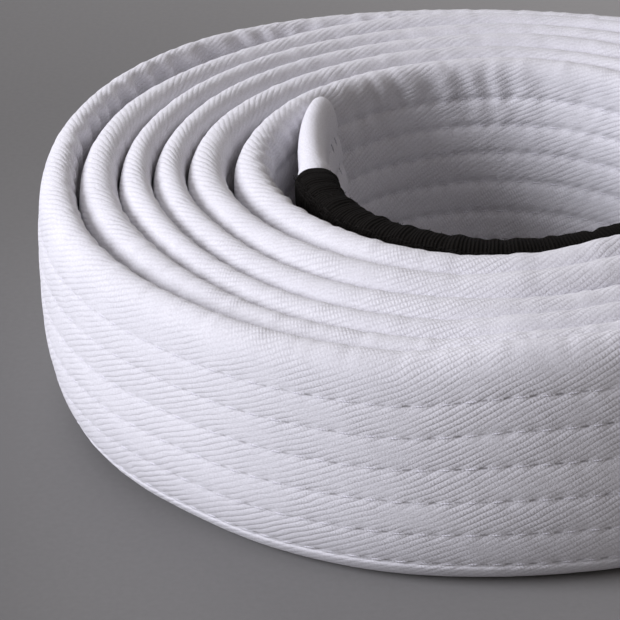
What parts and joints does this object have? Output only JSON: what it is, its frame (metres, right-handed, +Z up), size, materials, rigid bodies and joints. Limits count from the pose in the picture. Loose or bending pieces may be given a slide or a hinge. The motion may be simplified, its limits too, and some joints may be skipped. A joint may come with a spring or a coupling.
{
  "type": "martial arts belt",
  "caption": "Padded twill belt with parallel stitch rows and a dark sleeve near one end, rolled into a flat spiral that stands on its edge; both ends can be opened.",
  "frame": {"origin": "bottom centre of the rolled belt, on the surface that it stands on", "axes": "+Z up along the belt's width and the roll's axis; +X to the side where the outer end lies; -Y towards the near side of the roll, where the dark sleeve runs inside"},
  "size_m": [0.1594, 0.1564, 0.04],
  "materials": {
    "white_twill": "matte cotton twill",
    "core_padding": "raw cotton wadding",
    "white_thread": "spun thread",
    "black_cotton": "ribbed cotton, slightly fuzzy",
    "black_thread": "spun thread"
  },
  "bodies": {
    "coil": {"bobbin_rows_coil": "white_thread", "core_ply_1_coil": "core_padding", "core_ply_2_coil": "core_padding", "core_ply_3_coil": "core_padding", "cover_coil": "white_twill", "needle_rows_coil": "white_thread", "rank_bar": "black_cotton", "rank_bar_hem_stitches": "black_thread"},
    "tip_1": {"bobbin_rows_tip_1": "white_thread", "core_ply_1_tip_1": "core_padding", "core_ply_2_tip_1": "core_padding", "core_ply_3_tip_1": "core_padding", "cover_tip_1": "white_twill", "needle_rows_tip_1": "white_thread"},
    "tip_2": {"bobbin_rows_tip_2": "white_thread", "core_ply_1_tip_2": "core_padding", "core_ply_2_tip_2": "core_padding", "core_ply_3_tip_2": "core_padding", "cover_tip_2": "white_twill", "inner_end_stitches": "white_thread", "needle_rows_tip_2": "white_thread"},
    "tail_1": {"bobbin_rows_tail_1": "white_thread", "core_ply_1_tail_1": "core_padding", "core_ply_2_tail_1": "core_padding", "core_ply_3_tail_1": "core_padding", "cover_tail_1": "white_twill", "needle_rows_tail_1": "white_thread"},
    "tail_2": {"bobbin_rows_tail_2": "white_thread", "core_ply_1_tail_2": "core_padding", "core_ply_2_tail_2": "core_padding", "core_ply_3_tail_2": "core_padding", "cover_tail_2": "white_twill", "needle_rows_tail_2": "white_thread"},
    "tail_3": {"bobbin_rows_tail_3": "white_thread", "core_ply_1_tail_3": "core_padding", "core_ply_2_tail_3": "core_padding", "core_ply_3_tail_3": "core_padding", "cover_tail_3": "white_twill", "needle_rows_tail_3": "white_thread"},
    "tail_4": {"bobbin_rows_tail_4": "white_thread", "core_ply_1_tail_4": "core_padding", "core_ply_2_tail_4": "core_padding", "core_ply_3_tail_4": "core_padding", "cover_tail_4": "white_twill", "needle_rows_tail_4": "white_thread"},
    "tail_5": {"bobbin_rows_tail_5": "white_thread", "core_ply_1_tail_5": "core_padding", "core_ply_2_tail_5": "core_padding", "core_ply_3_tail_5": "core_padding", "cover_tail_5": "white_twill", "needle_rows_tail_5": "white_thread", "outer_end_stitches": "white_thread"}
  },
  "joints": [
    {"name": "inner_end_curl_1", "type": "hinge", "parent": "coil", "child": "tip_1", "pos_m": [-0.02872, -0.00341, 0.02], "axis": [0, 0, -1], "range_deg": [0, 24]},
    {"name": "inner_end_curl_2", "type": "hinge", "parent": "tip_1", "child": "tip_2", "pos_m": [-0.02771, 0.01225, 0.02], "axis": [0, 0, -1], "range_deg": [0, 24]},
    {"name": "outer_end_peel_1", "type": "hinge", "parent": "coil", "child": "tail_1", "pos_m": [0.02399, -0.07439, 0.02], "axis": [0, 0, -1], "range_deg": [0, 24]},
    {"name": "outer_end_peel_2", "type": "hinge", "parent": "tail_1", "child": "tail_2", "pos_m": [0.04258, -0.0655, 0.02], "axis": [0, 0, -1], "range_deg": [0, 24]},
    {"name": "outer_end_peel_3", "type": "hinge", "parent": "tail_2", "child": "tail_3", "pos_m": [0.05863, -0.0518, 0.02], "axis": [0, 0, -1], "range_deg": [0, 24]},
    {"name": "outer_end_peel_4", "type": "hinge", "parent": "tail_3", "child": "tail_4", "pos_m": [0.07064, -0.0343, 0.02], "axis": [0, 0, -1], "range_deg": [0, 24]},
    {"name": "outer_end_peel_5", "type": "hinge", "parent": "tail_4", "child": "tail_5", "pos_m": [0.07788, -0.01384, 0.02], "axis": [0, 0, -1], "range_deg": [0, 24]}
  ],
  "couplings": [
    {"joint": "inner_end_curl_2", "follows": "inner_end_curl_1", "ratio": 1},
    {"joint": "outer_end_peel_2", "follows": "outer_end_peel_1", "ratio": 1},
    {"joint": "outer_end_peel_3", "follows": "outer_end_peel_1", "ratio": 1},
    {"joint": "outer_end_peel_4", "follows": "outer_end_peel_1", "ratio": 1},
    {"joint": "outer_end_peel_5", "follows": "outer_end_peel_1", "ratio": 1}
  ]
}
